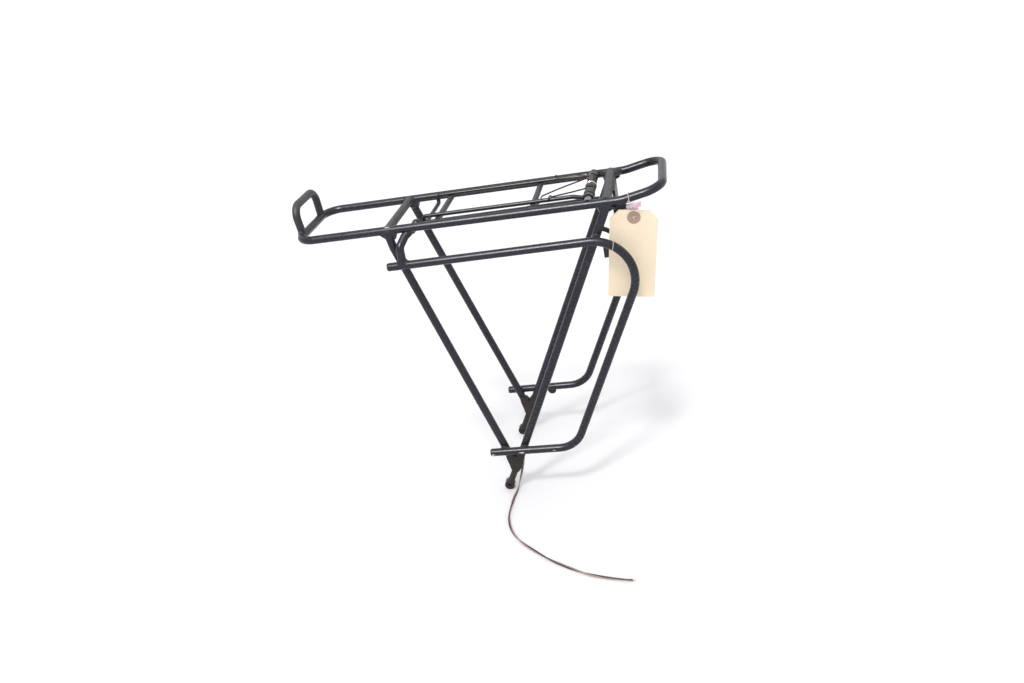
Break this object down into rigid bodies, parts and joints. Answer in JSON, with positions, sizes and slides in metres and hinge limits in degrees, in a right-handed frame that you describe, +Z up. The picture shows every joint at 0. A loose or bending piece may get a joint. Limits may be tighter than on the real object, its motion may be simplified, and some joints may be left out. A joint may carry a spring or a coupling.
{
  "type": "bicycle rear pannier rack",
  "caption": "Welded tube rack that carries panniers over a bicycle rear wheel, with a sprung wire clamp, a rear lamp and a card tag.",
  "frame": {"origin": "midway between the two dropout eyelets, on their common axis", "axes": "+X towards the rear of the bicycle, +Y to its right-hand side, +Z up, deck level"},
  "size_m": [0.4498, 0.3346, 0.4173],
  "materials": {
    "frame_paint": "semi-gloss black powder coat, scuffed",
    "foot_metal": "black paint, dusty and worn at the eyelets",
    "black_rubber": "matte",
    "bare_steel": "dull, lightly rusted",
    "black_plastic": "satin moulded, dusty",
    "bail_paint": "black dipped wire",
    "spring_steel": "blackened wire with rust",
    "bracket_paint": "satin black",
    "lamp_black": "satin moulded",
    "lamp_red": "clear red",
    "cable_sheath": "flexible sheath, one core dark and one pale",
    "manila_card": "matte",
    "kraft_paper": "matte",
    "cotton_string": "twisted"
  },
  "bodies": {
    "root": {"deck_loop": "frame_paint", "front_stop_loop": "frame_paint", "front_cross_tube": "frame_paint", "rear_cross_tube": "frame_paint", "cross_rod_front": "frame_paint", "cross_rod_middle": "frame_paint", "front_strut_left": "frame_paint", "front_strut_right": "frame_paint", "rear_strut_left": "frame_paint", "rear_strut_right": "frame_paint", "foot_left": "foot_metal", "foot_right": "foot_metal", "pannier_hoop_left": "frame_paint", "pannier_hoop_right": "frame_paint", "hoop_stay": "frame_paint", "hoop_bridge_left": "frame_paint", "hoop_bridge_right": "frame_paint", "hoop_end_plugs": "black_rubber", "lower_rail_lug": "frame_paint", "rail_tab": "bracket_paint", "pivot_axle": "bare_steel", "axle_spacer_left": "bare_steel", "axle_spacer_right": "bare_steel", "spring_cover": "black_plastic", "pivot_collar": "black_plastic", "collar_clip": "bare_steel", "torsion_spring_left": "spring_steel", "torsion_spring_right": "spring_steel", "lamp_bracket": "bracket_paint", "lamp_stay_left": "bracket_paint", "lamp_stay_right": "bracket_paint", "lamp_housing": "lamp_black", "lamp_lens": "lamp_red", "lamp_bolts": "bare_steel", "lamp_plug": "lamp_black", "cable_grommet": "black_rubber", "lamp_cable": "cable_sheath"},
    "bail": {"clamp_bail": "bail_paint"},
    "tag": {"tag_card": "manila_card", "tag_rings": "kraft_paper", "tag_string": "cotton_string"}
  },
  "joints": [
    {"name": "bail_hinge", "type": "hinge", "parent": "root", "child": "bail", "pos_m": [0.158, 0, 0.372], "axis": [0, 1, 0], "range_deg": [0, 75], "stiffness_Nm_per_rad": 0.5, "springref_deg": -68.75, "deforming": ["torsion_spring_left", "torsion_spring_right"]},
    {"name": "tag_swing", "type": "hinge", "parent": "root", "child": "tag", "pos_m": [0.204, -0.0555, 0.37], "axis": [1, 0, 0], "range_deg": [-4, 6]}
  ]
}
